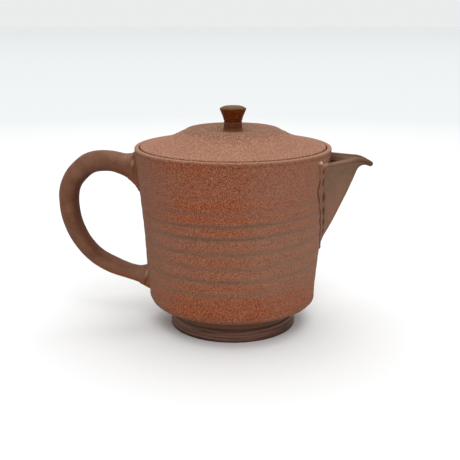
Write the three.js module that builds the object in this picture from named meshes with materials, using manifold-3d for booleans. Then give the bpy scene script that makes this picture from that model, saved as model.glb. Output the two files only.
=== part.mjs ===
// Unglazed side-handled teapot with an open beak spout, a strainer and a sunk lid with a turned knob.
// Sizes are in millimetres. The pot is drawn on its own axis, with the table at z = 0, the spout
// along +X and the handle along -X, and is then moved so that the whole part is centred in X.

import * as THREE from 'three';
import { mergeVertices } from 'three/addons/utils/BufferGeometryUtils.js';
import Module from 'manifold-3d';

const wasm = await Module();
wasm.setup();

// Gaps between pieces
const lutingGap = 0.3;
const seatGap = 0.3;
const lidClearance = 0.5;
const flangeClearance = 0.8;

// Foot ring
const footHeight = 10.2;
const footRadius = 35.3;
const footWall = 6.6;
const footNeckDepth = 1;
const footBandHeight = 6.2;
const footEdge = 0.6;

// Body
const rimHeight = 102.5;
const rimRadius = 54.4;
const shoulderHeight = 18.5;
const shoulderRadius = 46.45;
const shoulderRounding = 3.5;
const undersideRise = 4.2;
const wallThickness = 3.1;
const floorThickness = 5;
const innerRounding = 8;
const lipRounding = 1.5;

// Ledge inside the mouth that carries the lid
const lipThickness = 3.1;
const seatDepth = 3.6;
const seatWidth = 4.8;
const seatThickness = 2.6;
const seatSlope = 4.4;

// Lid, its locating flange and the knob
const lidThickness = 3.7;
const lidLandWidth = 9;
const lidCrestRise = 9.5;
const lidCrestRadius = 21.5;
const lidCentreRise = 8;
const lidBrimShares = [[0.73, 0.16], [0.43, 0.47], [0.22, 0.78], [0.1, 0.97]];
const lidDishShares = [0.5, 0.45];
const knobSeatMargin = 1.3;
const steamHoleDiameter = 3;
const steamHoleOffset = 13;
const flangeThickness = 2.8;
const flangeDepth = 8;
const knobHeight = 12.8;
const knobTopRadius = 7.4;
const knobNeckRadius = 5;
const knobNeckHeight = 4.2;
const knobEdge = 0.4;

// Spout: an open trough of two flat flanks that meet in a keel and end in a pinched beak
const spoutDrop = 6.2;
const spoutHalfWidth = 23.5;
const spoutFullness = 0.85;
const spoutFootShare = 0.03;
const spoutWall = 2.5;
const keelFootHeight = 46;
const keelBulge = 0.22;
const throatDrop = 8.3;
const throatReach = 15.8;
const noseLength = 5.5;
const noseFullness = 0.45;
const flankCover = 6;
const beakRootReach = 1.1;
const beakRootHalfWidth = 5.3;
const beakRootDrop = 0.1;
const beakReach = 8.4;
const beakDroop = 5.4;
const beakBendShares = [0.25, 0.37];
const seamRadius = 3.3;
const seamFootRadius = 1.5;
const seamRipple = 0.35;
const seamRippleCount = 11;
const seamGrowth = 0.7;

// Pour opening in the wall behind the spout, and the domed strainer over it
const pourRiseShare = 0.537;
const pourRadiusShare = 0.219;
const strainerOverlap = 5;
const strainerWall = 2.4;
const strainerSetback = 1.5;
const strainerHoleDiameter = 3;
const strainerRingStep = 21;
const strainerRingCounts = [1, 6, 12];

// Handle
const upperJointDrop = 12;
const lowerJointRise = 7.4;
const handleReach = 40.4;
const handleUpperThickness = 10.8;
const handleThickness = 11.1;
const handleLowerThickness = 8.3;
const handleBendShare = 0.28;
const handleWidth = 15;
const handleEndInset = 3;
// Share of the reach from the wall, and share of the height between the two joints
const handlePathShares = [
  [0.1, 1.01], [0.27, 1.04], [0.44, 1.055], [0.64, 1.038], [0.793, 0.97], [0.937, 0.862],
  [1, 0.732], [0.992, 0.53], [0.896, 0.356], [0.735, 0.216], [0.5, 0.116], [0.27, 0.062]
];
const collarWall = 0.7;
const collarCurve = 3;
const upperCollarLength = 7;
const upperCollarRise = 1.6;
const upperCollarDrop = 8.5;
const lowerCollarLength = 6;
const lowerCollarRise = 2.6;
const lowerCollarDrop = 3.2;
const collarFlare = 2;

// Facets
const potSegments = 48;
const smallSegments = 24;
const holeSegments = 6;
const sectionPoints = 16;
const seamPoints = 10;
const curveSteps = 4;
const lidSteps = 11;
const keelSteps = 8;
const beakSteps = 6;
const noseSteps = 5;
const handleSteps = 34;
const collarSteps = 6;

// Worked out from the sizes above
const bodyBase = footHeight + lutingGap;
const floorTop = bodyBase + floorThickness;
const wallTaper = (rimRadius - shoulderRadius) / (rimHeight - shoulderHeight);
const mouthRadius = rimRadius - lipThickness;
const seatHeight = rimHeight - seatDepth;
const seatRadius = mouthRadius - seatWidth;
const lidBase = seatHeight + seatGap;
const lidEdgeHeight = lidBase + lidThickness;
const lidRadius = mouthRadius - lidClearance;
const flangeRadius = seatRadius - flangeClearance;
const knobBase = lidEdgeHeight + lidCentreRise + lutingGap;
const spoutTop = rimHeight - spoutDrop;
const throatHeight = spoutTop - throatDrop;
const pourHeight = keelFootHeight + pourRiseShare * (spoutTop - keelFootHeight);
const pourRadius = pourRadiusShare * (spoutTop - keelFootHeight);
const strainerRadius = pourRadius + strainerOverlap;
const upperJointHeight = rimHeight - upperJointDrop;
const lowerJointHeight = shoulderHeight + lowerJointRise;

const clay = {
  speckled: new THREE.MeshStandardMaterial({ color: 0x8f5a45, roughness: 0.85, metalness: 0 }),
  plain: new THREE.MeshStandardMaterial({ color: 0x6f4a3a, roughness: 0.75, metalness: 0 }),
  foot: new THREE.MeshStandardMaterial({ color: 0x5a3c31, roughness: 0.7, metalness: 0 }),
  knob: new THREE.MeshStandardMaterial({ color: 0x54241a, roughness: 0.4, metalness: 0 })
};

// Radius of the tapered wall at a height
function wallRadius(z) {
  return shoulderRadius + wallTaper * (z - shoulderHeight);
}

function innerRadius(z) {
  return wallRadius(z) - wallThickness;
}

// Closed geometry to a solid that can be cut and joined
function toSolid(geometry) {
  const bare = geometry.clone();
  bare.deleteAttribute('normal');
  bare.deleteAttribute('uv');
  const merged = mergeVertices(bare, 1e-4);
  const index = merged.index.array;
  const corners = [];
  for (let i = 0; i < index.length; i += 3) {
    const [a, b, c] = [index[i], index[i + 1], index[i + 2]];
    if (a !== b && b !== c && c !== a) corners.push(a, b, c);
  }
  return new wasm.Manifold(new wasm.Mesh({
    numProp: 3,
    vertProperties: new Float32Array(merged.attributes.position.array),
    triVerts: new Uint32Array(corners)
  }));
}

// Solid to a named mesh
function toMesh(name, solid, material) {
  const { vertProperties, triVerts } = solid.getMesh();
  const geometry = new THREE.BufferGeometry();
  geometry.setAttribute('position', new THREE.BufferAttribute(vertProperties, 3));
  geometry.setIndex(new THREE.BufferAttribute(triVerts, 1));
  geometry.computeVertexNormals();
  const mesh = new THREE.Mesh(geometry, material);
  mesh.name = name;
  return mesh;
}

// Solid turned around Z from a closed outline of radius and height
function turned(outline, segments = potSegments) {
  const geometry = new THREE.LatheGeometry(outline, segments);
  geometry.rotateX(Math.PI / 2);
  return toSolid(geometry);
}

// Solid through rows of points. Each row is a loop of an even number of points, and the two end
// rows are closed by a ladder of faces between its two halves.
function lofted(rows) {
  const count = rows[0].length;
  const position = rows.flat().flatMap((point) => point.toArray());
  const faces = [];
  const quad = (a, b, c, d) => faces.push(a, b, c, a, c, d);
  for (let row = 0; row < rows.length - 1; row++) {
    for (let i = 0; i < count; i++) {
      const here = row * count + i;
      const next = row * count + ((i + 1) % count);
      quad(here, next, next + count, here + count);
    }
  }
  const last = (rows.length - 1) * count;
  for (let i = 0; i < count / 2 - 1; i++) {
    const across = count - 1 - i;
    quad(i, across, across - 1, i + 1);
    quad(last + i, last + i + 1, last + across - 1, last + across);
  }
  const geometry = new THREE.BufferGeometry();
  geometry.setAttribute('position', new THREE.Float32BufferAttribute(position, 3));
  geometry.setIndex(faces);
  return toSolid(geometry);
}

// Oval loop of points around a centre, from its two half axes
function ovalLoop(centre, halfAcross, halfUp, count) {
  const loop = [];
  for (let i = 0; i < count; i++) {
    const angle = (2 * Math.PI * i) / count;
    loop.push(centre.clone()
      .addScaledVector(halfAcross, Math.cos(angle))
      .addScaledVector(halfUp, Math.sin(angle)));
  }
  return loop;
}

// Outer outline of the body from the underside's centre up to the lip, moved out by a gap. The
// underside slopes up from the foot and is rounded into the wall
function outerOutline(gap, path) {
  const low = bodyBase - gap;
  const slopeStart = footRadius - footEdge;
  const slopeEnd = shoulderRadius - shoulderRounding;
  const slope = undersideRise / (shoulderRadius - slopeStart);
  path.moveTo(0, low);
  path.lineTo(slopeStart, low);
  path.lineTo(slopeEnd + gap, low + slope * (slopeEnd - slopeStart));
  path.quadraticCurveTo(
    shoulderRadius + gap, low + undersideRise,
    shoulderRadius + gap, shoulderHeight
  );
  return path;
}

// Filled outside of the body with a gap around it: what a piece luted to the body is cut by
function bodyEnvelope(gap) {
  const path = outerOutline(gap, new THREE.Path());
  path.lineTo(rimRadius + gap, rimHeight);
  path.lineTo(0, rimHeight);
  return turned(path.getPoints(curveSteps));
}

// Filled inside of the body, smaller by a gap
function bodyInterior(gap) {
  const low = floorTop + innerRounding;
  const high = seatHeight - seatThickness - seatSlope;
  const outline = [
    new THREE.Vector2(0, low),
    new THREE.Vector2(innerRadius(low) - gap, low),
    new THREE.Vector2(innerRadius(high) - gap, high),
    new THREE.Vector2(0, high)
  ];
  return turned(outline);
}

function makeBody() {
  const path = outerOutline(0, new THREE.Path());
  const slopeEnd = seatHeight - seatThickness - seatSlope;
  const cornerHeight = floorTop + innerRounding;
  path.lineTo(wallRadius(rimHeight - lipRounding), rimHeight - lipRounding);
  path.quadraticCurveTo(rimRadius, rimHeight, rimRadius - lipThickness / 2, rimHeight);
  path.quadraticCurveTo(mouthRadius, rimHeight, mouthRadius, rimHeight - lipRounding);
  path.lineTo(mouthRadius, seatHeight);
  path.lineTo(seatRadius, seatHeight);
  path.lineTo(seatRadius, seatHeight - seatThickness);
  path.lineTo(innerRadius(slopeEnd), slopeEnd);
  path.lineTo(innerRadius(cornerHeight), cornerHeight);
  path.quadraticCurveTo(
    innerRadius(floorTop), floorTop,
    innerRadius(cornerHeight) - innerRounding, floorTop
  );
  path.lineTo(0, floorTop);
  const drill = new THREE.CylinderGeometry(pourRadius, pourRadius, 4 * wallThickness, smallSegments);
  drill.rotateZ(Math.PI / 2);
  drill.translate(innerRadius(pourHeight), 0, pourHeight);
  return turned(path.getPoints(curveSteps)).subtract(toSolid(drill));
}

function makeFootRing() {
  const innerFoot = footRadius - footWall;
  const neckRadius = footRadius - footNeckDepth;
  const path = new THREE.Path();
  path.moveTo(innerFoot + footEdge, 0);
  path.lineTo(footRadius - footEdge, 0);
  path.lineTo(footRadius, footEdge);
  path.lineTo(footRadius, footBandHeight);
  path.quadraticCurveTo(neckRadius, footBandHeight, neckRadius, (footBandHeight + footHeight) / 2);
  path.quadraticCurveTo(neckRadius, footHeight, footRadius - footEdge, footHeight);
  path.lineTo(innerFoot, footHeight);
  path.lineTo(innerFoot, footEdge);
  path.lineTo(innerFoot + footEdge, 0);
  return turned(path.getPoints(curveSteps));
}

// Top of the lid from its edge to the knob's seat, with its edge at height 0: a brim that rises
// to a low crest around a slightly dished middle
function lidTopOutline() {
  const brim = lidRadius - lidCrestRadius;
  const knobSeat = knobNeckRadius + knobSeatMargin;
  const [dishRadius, dishRise] = lidDishShares;
  const curve = new THREE.SplineCurve([
    new THREE.Vector2(lidRadius, 0),
    ...lidBrimShares.map(([out, up]) => new THREE.Vector2(lidCrestRadius + out * brim, up * lidCrestRise)),
    new THREE.Vector2(lidCrestRadius, lidCrestRise),
    new THREE.Vector2(
      THREE.MathUtils.lerp(knobSeat, lidCrestRadius, dishRadius),
      THREE.MathUtils.lerp(lidCentreRise, lidCrestRise, dishRise)
    ),
    new THREE.Vector2(knobSeat, lidCentreRise)
  ]);
  return curve.getPoints(lidSteps);
}

// The underside follows the top down to a flat land, which rests on the ledge in the mouth
function makeLid() {
  const top = lidTopOutline();
  const landRadius = lidRadius - lidLandWidth;
  const hollow = top.toReversed().filter((point) => point.x < landRadius - lidThickness / 2);
  const outline = [
    new THREE.Vector2(0, lidBase + lidCentreRise),
    ...hollow.map((point) => new THREE.Vector2(point.x, lidBase + point.y)),
    new THREE.Vector2(landRadius, lidBase),
    new THREE.Vector2(lidRadius, lidBase),
    ...top.map((point) => new THREE.Vector2(point.x, lidEdgeHeight + point.y)),
    new THREE.Vector2(0, lidEdgeHeight + lidCentreRise)
  ];
  const drillRadius = steamHoleDiameter / 2;
  const drill = new THREE.CylinderGeometry(drillRadius, drillRadius, 4 * lidThickness, smallSegments / 2);
  drill.rotateX(Math.PI / 2);
  drill.translate(0, steamHoleOffset, lidEdgeHeight + lidCentreRise);
  return turned(outline).subtract(toSolid(drill));
}

function makeLidFlange() {
  const top = lidBase - lutingGap;
  const outline = [
    new THREE.Vector2(flangeRadius - flangeThickness, top - flangeDepth),
    new THREE.Vector2(flangeRadius, top - flangeDepth),
    new THREE.Vector2(flangeRadius, top),
    new THREE.Vector2(flangeRadius - flangeThickness, top),
    new THREE.Vector2(flangeRadius - flangeThickness, top - flangeDepth)
  ];
  return turned(outline);
}

function makeKnob() {
  const flare = knobTopRadius - knobNeckRadius;
  const path = new THREE.Path();
  path.moveTo(0, knobBase);
  path.lineTo(knobNeckRadius + knobEdge, knobBase);
  path.quadraticCurveTo(knobNeckRadius, knobBase, knobNeckRadius, knobBase + knobNeckHeight / 2);
  path.lineTo(knobNeckRadius, knobBase + knobNeckHeight);
  path.quadraticCurveTo(
    knobNeckRadius + flare / 2, knobBase + knobNeckHeight + flare,
    knobTopRadius, knobBase + knobHeight - knobEdge
  );
  path.lineTo(knobTopRadius - knobEdge, knobBase + knobHeight);
  path.lineTo(0, knobBase + knobHeight);
  return turned(path.getPoints(curveSteps), smallSegments);
}

// Half width of the spout where its flanks meet the wall, at a height
function spoutWidthAt(z) {
  const share = (z - keelFootHeight) / (spoutTop - keelFootHeight);
  return spoutHalfWidth * Math.sin((Math.PI / 2) * Math.max(share, spoutFootShare) ** spoutFullness);
}

function onWall(halfWidth, z) {
  return new THREE.Vector3(Math.sqrt(wallRadius(z) ** 2 - halfWidth ** 2), halfWidth, z);
}

// The keel runs up in a slightly bulging line and then bends out under the beak
function keelPoint(z) {
  if (z <= throatHeight) {
    const share = (z - keelFootHeight) / (throatHeight - keelFootHeight);
    const reach = throatReach * share * (1 + keelBulge * (1 - share));
    return new THREE.Vector3(wallRadius(z) + reach, 0, z);
  }
  const throat = keelPoint(throatHeight);
  const tip = new THREE.Vector3(throat.x + beakReach, 0, spoutTop - beakDroop);
  const bend = new THREE.Vector3(
    throat.x + beakBendShares[0] * beakReach, 0, spoutTop - beakBendShares[1] * beakDroop
  );
  const under = new THREE.QuadraticBezierCurve3(throat, bend, tip);
  return under.getPoint((z - throatHeight) / throatDrop);
}

// End of a flank's straight part, before it rounds into the keel or the beak
function flankEnd(z, side) {
  const start = onWall(side * spoutWidthAt(z), z);
  const keel = keelPoint(z);
  const straight = keel.clone().lerp(start, Math.min(0.5, noseLength / keel.distanceTo(start)));
  if (z <= throatHeight) return straight;
  const beakRoot = new THREE.Vector3(
    keelPoint(throatHeight).x + beakRootReach, side * beakRootHalfWidth, spoutTop - beakRootDrop
  );
  const plain = flankEnd(throatHeight, side);
  return plain.lerp(beakRoot, (z - throatHeight) / throatDrop);
}

function spoutHeights() {
  const low = keelFootHeight + (lutingGap / 2) * ((throatHeight - keelFootHeight) / throatReach);
  const heights = [];
  for (let i = 0; i < keelSteps; i++) heights.push(low + ((throatHeight - low) * i) / keelSteps);
  for (let i = 0; i <= beakSteps; i++) heights.push(throatHeight + (throatDrop * i) / beakSteps);
  return heights;
}

// Five points that set a section of the spout: inside the wall and at the end of the flank, on
// the near side, then the keel, then the same two on the far side
function spoutAnchors(z) {
  const flank = (side) => {
    const start = onWall(side * spoutWidthAt(z), z);
    const end = flankEnd(z, side);
    const along = end.clone().sub(start).normalize();
    return [start.addScaledVector(along, -flankCover), end];
  };
  return [...flank(-1), keelPoint(z), ...flank(1).toReversed()];
}

// The same points of every section, moved along the spout's own normal
function offsetAnchors(distance) {
  const rows = spoutHeights().map(spoutAnchors);
  const last = rows.length - 1;
  return rows.map((anchors, row) => {
    const below = rows[Math.max(row - 1, 0)];
    const above = rows[Math.min(row + 1, last)];
    return anchors.map((point, i) => {
      const before = anchors[Math.max(i - 1, 0)];
      const after = anchors[Math.min(i + 1, anchors.length - 1)];
      const outward = after.clone().sub(before).cross(above[i].clone().sub(below[i])).normalize();
      return point.clone().addScaledVector(outward, distance);
    });
  });
}

// Half a section: a straight flank that rounds into the keel
function halfSection(inside, end, keel) {
  const along = end.clone().sub(inside).normalize();
  const nose = new THREE.CubicBezierCurve3(
    end,
    end.clone().addScaledVector(along, noseFullness * end.distanceTo(keel)),
    keel.clone().add(new THREE.Vector3(0, noseFullness * end.y, 0)),
    keel
  );
  return [inside, inside.clone().lerp(end, 0.5), ...nose.getPoints(noseSteps)];
}

function offsetSections(distance) {
  return offsetAnchors(distance).map(([nearInside, nearEnd, keel, farEnd, farInside]) => {
    const near = halfSection(nearInside, nearEnd, keel);
    const far = halfSection(farInside, farEnd, keel);
    return [...near, ...far.toReversed().slice(1)];
  });
}

function makeSpout() {
  const outer = offsetSections(0);
  const inner = offsetSections(-spoutWall);
  const rows = outer.map((section, row) => [...section, ...inner[row].toReversed()]);
  return lofted(rows).subtract(bodyEnvelope(lutingGap));
}

// The spout without its hollow, with a gap around it, and taller than its open top
function spoutEnvelope(gap) {
  const rows = offsetSections(gap).map((section) => {
    const middle = section[0].clone().lerp(section.at(-1), 0.5);
    return [...section, middle];
  });
  rows.push(rows.at(-1).map((point) => point.clone().setZ(point.z + seamRadius)));
  return lofted(rows);
}

// Bead of luting clay along both flanks and round the foot of the keel
function makeSpoutSeam() {
  const side = [];
  for (let i = 0; i <= keelSteps; i++) {
    const z = spoutTop + ((keelFootHeight - spoutTop) * i) / keelSteps;
    side.push(onWall(-spoutWidthAt(z), z));
  }
  const mirrored = side.map((point) => new THREE.Vector3(point.x, -point.y, point.z)).toReversed();
  const path = new THREE.CatmullRomCurve3([...side, ...mirrored]);
  const steps = curveSteps * seamRippleCount;
  const rows = [];
  for (let i = 0; i <= steps; i++) {
    const point = path.getPointAt(i / steps);
    const tangent = path.getTangentAt(i / steps);
    const out = new THREE.Vector3(point.x, point.y, 0).normalize();
    const across = new THREE.Vector3().crossVectors(tangent, out).normalize();
    const rise = Math.abs(2 * i / steps - 1);
    const ripple = seamRipple * Math.cos((2 * Math.PI * seamRippleCount * i) / steps);
    const radius = THREE.MathUtils.lerp(seamFootRadius, seamRadius + ripple, rise ** seamGrowth);
    rows.push(ovalLoop(point, out.multiplyScalar(radius), across.multiplyScalar(radius), seamPoints));
  }
  return lofted(rows).subtract(bodyEnvelope(lutingGap)).subtract(spoutEnvelope(lutingGap));
}

// Dome of pierced clay over the pour opening, inside the pot
function makeStrainer() {
  const centre = new THREE.Vector3(innerRadius(pourHeight) + strainerSetback, 0, pourHeight);
  const ball = (radius) => {
    const geometry = new THREE.SphereGeometry(radius, smallSegments, smallSegments / 2);
    geometry.rotateZ(Math.PI / 2);
    geometry.translate(centre.x, centre.y, centre.z);
    return toSolid(geometry);
  };
  let dome = ball(strainerRadius).subtract(ball(strainerRadius - strainerWall));
  dome = dome.intersect(bodyInterior(lutingGap));
  const radius = strainerHoleDiameter / 2;
  strainerRingCounts.forEach((count, ring) => {
    for (let i = 0; i < count; i++) {
      const drill = new THREE.CylinderGeometry(radius, radius, 3 * strainerWall, holeSegments);
      drill.translate(0, strainerRadius - strainerWall / 2, 0);
      drill.rotateZ(Math.PI / 2);
      drill.rotateY(THREE.MathUtils.degToRad(ring * strainerRingStep));
      drill.rotateX((2 * Math.PI * i) / count);
      drill.translate(centre.x, centre.y, centre.z);
      dome = dome.subtract(toSolid(drill));
    }
  });
  return dome;
}

// Centre line of the handle, from its upper joint round to its lower one
function handlePath() {
  const point = (reach, z) => new THREE.Vector3(-(wallRadius(z) + reach), 0, z);
  const span = upperJointHeight - lowerJointHeight;
  const points = handlePathShares.map(([reach, height]) => {
    return point(reach * handleReach, lowerJointHeight + height * span);
  });
  points.unshift(point(-handleEndInset, upperJointHeight));
  points.push(point(-handleEndInset, lowerJointHeight - handleEndInset / 2));
  return new THREE.CatmullRomCurve3(points, false, 'centripetal');
}

function handleSolid(gap) {
  const path = handlePath();
  const rows = [];
  for (let i = 0; i <= handleSteps; i++) {
    const share = i / handleSteps;
    const tangent = path.getTangentAt(share);
    const normal = new THREE.Vector3(-tangent.z, 0, tangent.x);
    const thickness = share < handleBendShare
      ? THREE.MathUtils.mapLinear(share, 0, handleBendShare, handleUpperThickness, handleThickness)
      : THREE.MathUtils.mapLinear(share, handleBendShare, 1, handleThickness, handleLowerThickness);
    const side = new THREE.Vector3(0, handleWidth / 2 + gap, 0);
    normal.multiplyScalar(thickness / 2 + gap);
    rows.push(ovalLoop(path.getPointAt(share), side, normal, sectionPoints));
  }
  return lofted(rows);
}

function makeHandle() {
  return handleSolid(0).subtract(bodyEnvelope(lutingGap));
}

// Collar of luting clay around one root of the handle, flared where it meets the wall
function makeHandleJoint(collar) {
  const path = handlePath();
  const length = path.getLength();
  const rows = [];
  for (let i = 0; i <= collarSteps; i++) {
    const along = ((collar.reach + handleEndInset) * i) / collarSteps;
    const centre = path.getPointAt(collar.fromEnd ? 1 - along / length : along / length);
    const flare = (1 - Math.max(along - handleEndInset, 0) / collar.reach) ** collarCurve;
    const halfUp = collar.thickness / 2 + lutingGap + collarWall;
    const up = halfUp + flare * collar.rise;
    const down = halfUp + flare * collar.drop;
    const side = handleWidth / 2 + lutingGap + collarWall + flare * collarFlare;
    centre.z += (up - down) / 2;
    const halfAcross = new THREE.Vector3(0, -side, 0);
    rows.push(ovalLoop(centre, halfAcross, new THREE.Vector3(0, 0, (up + down) / 2), sectionPoints));
  }
  return lofted(rows).subtract(handleSolid(lutingGap)).subtract(bodyEnvelope(lutingGap));
}

const upperCollar = {
  reach: upperCollarLength,
  rise: upperCollarRise,
  drop: upperCollarDrop,
  thickness: handleUpperThickness,
  fromEnd: false
};
const lowerCollar = {
  reach: lowerCollarLength,
  rise: lowerCollarRise,
  drop: lowerCollarDrop,
  thickness: handleLowerThickness,
  fromEnd: true
};

const pot = new THREE.Group();
pot.add(
  toMesh('body', makeBody(), clay.speckled),
  toMesh('foot_ring', makeFootRing(), clay.foot),
  toMesh('strainer', makeStrainer(), clay.plain),
  toMesh('spout', makeSpout(), clay.plain),
  toMesh('spout_seam', makeSpoutSeam(), clay.plain),
  toMesh('handle', makeHandle(), clay.plain),
  toMesh('handle_upper_joint', makeHandleJoint(upperCollar), clay.plain),
  toMesh('handle_lower_joint', makeHandleJoint(lowerCollar), clay.plain)
);

const lid = new THREE.Group();
lid.add(
  toMesh('lid', makeLid(), clay.speckled),
  toMesh('lid_flange', makeLidFlange(), clay.speckled),
  toMesh('knob', makeKnob(), clay.knob)
);

const teapot = new THREE.Group();
teapot.add(pot, lid);

const extent = new THREE.Box3().setFromObject(teapot);
teapot.position.x = -(extent.min.x + extent.max.x) / 2;

export default teapot;
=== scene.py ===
import math

import bmesh
import bpy
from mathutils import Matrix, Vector, noise


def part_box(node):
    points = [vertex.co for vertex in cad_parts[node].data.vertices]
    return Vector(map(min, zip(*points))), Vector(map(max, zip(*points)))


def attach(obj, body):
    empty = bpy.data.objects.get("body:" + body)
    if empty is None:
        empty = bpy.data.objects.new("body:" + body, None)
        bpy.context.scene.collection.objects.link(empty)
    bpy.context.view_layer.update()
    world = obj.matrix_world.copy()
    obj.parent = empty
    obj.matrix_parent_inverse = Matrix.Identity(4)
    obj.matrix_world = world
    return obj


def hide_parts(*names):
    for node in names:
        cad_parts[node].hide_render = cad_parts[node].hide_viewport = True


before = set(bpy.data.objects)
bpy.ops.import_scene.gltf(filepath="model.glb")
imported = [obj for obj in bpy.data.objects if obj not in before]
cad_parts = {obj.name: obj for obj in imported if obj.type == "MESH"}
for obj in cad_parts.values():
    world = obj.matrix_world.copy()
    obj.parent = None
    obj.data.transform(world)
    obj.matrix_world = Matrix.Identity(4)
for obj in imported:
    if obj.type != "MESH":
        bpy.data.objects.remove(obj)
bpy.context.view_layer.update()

# Unglazed red stoneware teapot. Lengths are in millimetres, on the pot's own axis, with the
# table at 0; the front of the pot faces -Y, the spout +X and the handle -X.
MM = 0.001
foot_low, foot_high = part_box("foot_ring")
pot_axis = (foot_low.x + foot_high.x) / 2

# Body and foot
foot_height, foot_radius, foot_wall, foot_neck, foot_band = 10.2, 35.3, 6.6, 1.0, 6.2
body_base, floor_top = 10.5, 15.5
shoulder_height, shoulder_radius, underside_rise = 18.5, 46.45, 4.2
rim_height, rim_radius = 102.5, 54.4
wall, lip = 3.1, 2.6
seat_height, seat_radius, seat_under = 98.9, 46.5, 96.3
wall_taper = (rim_radius - shoulder_radius) / (rim_height - shoulder_height)

# Heights of the throwing grooves at the front of the pot. They are one spiral, which climbs
# by one groove in each turn.
groove_heights = [8.0, 15.8, 23.4, 31.0, 39.0, 46.0, 54.2, 62.5, 69.2, 76.2, 84.0, 91.8, 99.6, 107.4]
groove_depth = 0.05

# Lid and knob
lid_base, lid_edge, lid_radius, lid_reach = 99.2, 102.9, 51.35, 52.0
lid_crest_rise, lid_crest_radius, lid_centre_rise, lid_land = 9.5, 21.5, 8.0, 9.4
flange_radius, flange_wall, flange_depth = 45.7, 2.8, 8.0
steam_hole_radius, steam_hole_offset = 1.5, 13.0
knob_base, knob_waist, knob_edge, knob_top = 111.2, 116.2, 122.9, 124.4
knob_radius, knob_neck, knob_line_step = 7.4, 5.0, 1.45

# Spout
spout_top, keel_foot, throat_height = 95.95, 46.0, 88.0
spout_half_width, spout_wall = 23.5, 2.9
throat_reach, throat_drop, keel_bulge = 15.8, 7.95, 0.22
nose_length, nose_fullness = 5.5, 0.45
beak_root_reach, beak_root_half, beak_root_drop = 1.1, 6.2, 0.2
beak_reach, beak_droop = 8.4, 5.65

# Luting strip along the spout: its width on the wall and how dark the painted shade along its edge is, by
# height
strip_widths = [
    (44, 1.5), (48, 4.2), (52, 5.8), (56, 6.6), (59, 5.8), (62, 4.4), (66, 5.4), (70.5, 4.1), (74, 5.2),
    (79, 5.4), (82, 7.2), (85, 7.4), (88, 5.4), (91, 6.1), (94, 6.8), (96, 7.6), (97.6, 8.6),
]
strip_edges = [
    (44, 0.7), (58, 0.5), (64, 0.7), (72, 0.7), (75, 0.3), (78, 0.9), (84, 1.0), (88.5, 0.9),
    (89.5, 0.2), (97, 0.1),
]
# Its thickness, and how far it reaches up the spout's flank
strip_cover, strip_flank_width = 0.6, 3.4
# Where the end of a tool was pressed in: height, distance up the flank, half the mark's length
tool_marks = [
    (55.2, 0.3, 1.6), (61.6, 0.65, 2.3), (69.0, 0.55, 2.4), (77.5, 0.5, 2.6), (86.4, -0.7, 2.3),
    (92.6, -1.4, 1.5),
]
mark_depth = 0.42
# Nub of clay at the strip's top and the tail pulled off it: distance out from the joint, rise
# over the spout, half length, half height, and share of the nub's height
nubs = [(6.3, 2.0, 1.5, 0.55, 1.0), (6.0, 2.9, 0.6, 0.5, 0.6)]
nub_height = 0.6

# Pour opening
pour_height, pour_radius = 73.0, 11.0

# Handle
upper_joint, lower_joint, handle_reach = 90.5, 25.9, 40.4
handle_upper, handle_middle, handle_lower, handle_width = 10.8, 11.1, 8.3, 15.0
handle_path = [
    (0.1, 1.01), (0.27, 1.04), (0.44, 1.055), (0.64, 1.038), (0.793, 0.97), (0.937, 0.862),
    (1, 0.732), (0.992, 0.53), (0.896, 0.356), (0.735, 0.216), (0.5, 0.116), (0.27, 0.062),
]
# Clay smoothed on the wall round the lower end of the handle, by height, and the angle that
# it spreads to both sides
root_mound = [(12, 0), (17.3, 0.7), (24, 1.25), (34, 1.1), (43, 0.6), (56, 0)]
mound_spread = 0.38
# How far the handle's middle line lies outside its path, and how much thicker it is than even,
# by the share of its length
handle_shift = [
    (0, 0), (0.05, 0.38), (0.1, 0.33), (0.17, 0.12), (0.25, 0.12), (0.4, 0.2), (0.53, 0.3),
    (0.62, 0.45), (0.7, 0.48), (0.78, 0.4), (0.85, 0.1), (1, 0),
]
handle_swell = [
    (0.08, 0), (0.17, 0.33), (0.25, 0.3), (0.53, 0.22), (0.62, -0.1), (0.7, -0.12), (0.78, -0.08),
    (0.85, 0),
]
# How much the clay spreads at the handle's ends, by the distance from an end inside the wall:
# over and under the upper arm, over and under the lower arm, and to both sides
upper_over = [(0, 3.2), (3.5, 2.6), (5.6, 1.7), (8, 0.95), (10.4, 0.15), (12, 0)]
upper_under = [
    (0, 8.5), (0.9, 7.6), (1.9, 6.0), (2.6, 4.9), (3.5, 3.8), (5.7, 2.2), (8, 1.1), (10.4, 0.7),
    (12.8, 0.35), (16, 0),
]
lower_over = [
    (0, 5.8), (3.5, 4.8), (5.1, 4.2), (6.2, 3.4), (7.3, 2.3), (8.4, 1.4), (10.6, 0.0), (13, -0.6),
    (16, -0.75), (19.4, -0.5), (25, 0),
]
lower_under = [(0, 1.0), (2, 1.0), (3.5, 0.9), (4.2, 0.8), (5.1, 0.7), (6.2, 0.5), (8.4, 0.1), (10.6, 0)]
side_spread = [(0, 2.6), (3, 1.2), (6, 0.35), (9, 0)]
# Dabs on the roots, pale ones partly painted highlights and dark ones painted shade in the
# creases: distance from the end, height on the arm (-1 to 1, inside the loop is 1), their sizes,
# and how pale (+) or dark (-) they are
upper_dabs_and_shade = [
    (4.4, -0.4, 0.9, 0.2, 0.7), (4.6, -0.75, 1.3, 0.12, -0.9), (3.3, 0.0, 0.4, 0.6, -0.6),
    (5.9, 0.5, 0.9, 0.2, -0.5),
]
lower_dabs_and_shade = [
    (6.1, 0.6, 0.6, 0.3, 1.2), (5.2, 0.0, 0.45, 0.22, -1.0), (4.8, -0.4, 0.45, 0.25, -1.0),
    (8.0, 0.5, 3.0, 0.5, 0.12),
]
# How far the clay of the roots reaches, and its thickness
root_reach, root_cover = 9.5, 0.42
# How dark the painted shade on the inside of the loop is, by the share of its length
loop_painted_shade = [(0.6, 0.5), (0.75, 0.35), (0.85, 0.0)]
handle_steps = 400

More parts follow.
